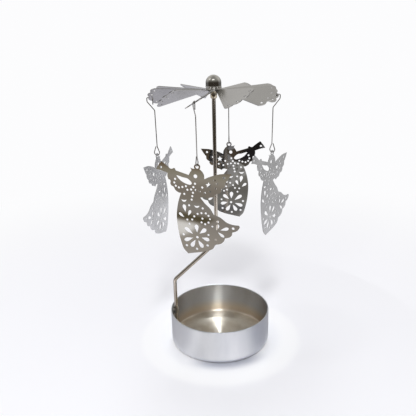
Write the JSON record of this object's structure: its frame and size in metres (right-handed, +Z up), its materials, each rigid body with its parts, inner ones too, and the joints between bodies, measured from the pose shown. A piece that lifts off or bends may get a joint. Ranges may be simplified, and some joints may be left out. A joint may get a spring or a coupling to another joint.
{
  "type": "rotary tealight holder",
  "caption": "Tall turning tealight holder: a shallow round metal cup, a bent wire post and a vane wheel that spins on its point and carries cut-out angels on wire hangers.",
  "frame": {"origin": "centre of the cup's flat underside, where it stands on the table", "axes": "+Z up towards the dome; -Y towards the viewer of the picture; -X towards the side of the cup where the post stands"},
  "size_m": [0.0867, 0.0751, 0.1639],
  "materials": {
    "cup_steel": "satin outside, brighter inside",
    "strap_steel": "satin",
    "post_chrome": "bright plated wire",
    "seat_brass": "turned",
    "fan_sheet": "semi-bright thin sheet",
    "dome_chrome": "mirror bright",
    "sleeve_chrome": "bright turned",
    "hanger_wire": "drawn wire",
    "angel_sheet": "mirror bright thin sheet"
  },
  "bodies": {
    "stand": {"candle_cup": "cup_steel", "post_strap": "strap_steel", "post": "post_chrome"},
    "pivot": {"pivot_seat": "seat_brass"},
    "wheel": {"fan": "fan_sheet", "dome_cap": "dome_chrome", "hub_sleeve": "sleeve_chrome"},
    "hook_front": {"hanger_front": "hanger_wire"},
    "hook_left": {"hanger_left": "hanger_wire"},
    "hook_rear": {"hanger_rear": "hanger_wire"},
    "hook_right": {"hanger_right": "hanger_wire"},
    "figure_front": {"angel_front": "angel_sheet"},
    "figure_left": {"angel_left": "angel_sheet"},
    "figure_rear": {"angel_rear": "angel_sheet"},
    "figure_right": {"angel_right": "angel_sheet"}
  },
  "joints": [
    {"name": "wheel_lift", "type": "slide", "parent": "stand", "child": "pivot", "axis": [0, 0, 1], "range_m": [0, 0.02]},
    {"name": "wheel_turn", "type": "hinge", "parent": "pivot", "child": "wheel", "pos_m": [-0.0013, 0, 0.1603], "axis": [0, 0, 1], "continuous": true},
    {"name": "hanger_front_swing", "type": "hinge", "parent": "wheel", "child": "hook_front", "pos_m": [-0.01053, -0.03272, 0.15196], "axis": [-0.2147, -0.9767, 0], "range_deg": [-10, 10]},
    {"name": "hanger_left_swing", "type": "hinge", "parent": "wheel", "child": "hook_left", "pos_m": [-0.03528, -0.00133, 0.15196], "axis": [-0.9952, -0.0976, 0], "range_deg": [-10, 10]},
    {"name": "hanger_rear_swing", "type": "hinge", "parent": "wheel", "child": "hook_rear", "pos_m": [0.00793, 0.03272, 0.15196], "axis": [0.2147, 0.9767, 0], "range_deg": [-10, 10]},
    {"name": "hanger_right_swing", "type": "hinge", "parent": "wheel", "child": "hook_right", "pos_m": [0.03268, 0.00133, 0.15196], "axis": [0.9952, 0.0976, 0], "range_deg": [-10, 10]},
    {"name": "angel_front_swing", "type": "hinge", "parent": "hook_front", "child": "figure_front", "pos_m": [-0.01036, -0.03194, 0.11998], "axis": [0.304, 0.9527, 0], "range_deg": [-15, 15]},
    {"name": "angel_left_swing", "type": "hinge", "parent": "hook_left", "child": "figure_left", "pos_m": [-0.03448, -0.00125, 0.11998], "axis": [0.9527, -0.304, 0], "range_deg": [-15, 15]},
    {"name": "angel_rear_swing", "type": "hinge", "parent": "hook_rear", "child": "figure_rear", "pos_m": [0.00776, 0.03194, 0.11998], "axis": [-0.1184, -0.993, 0], "range_deg": [-15, 15]},
    {"name": "angel_right_swing", "type": "hinge", "parent": "hook_right", "child": "figure_right", "pos_m": [0.03188, 0.00125, 0.11998], "axis": [-0.8171, 0.5764, 0], "range_deg": [-15, 15]}
  ]
}
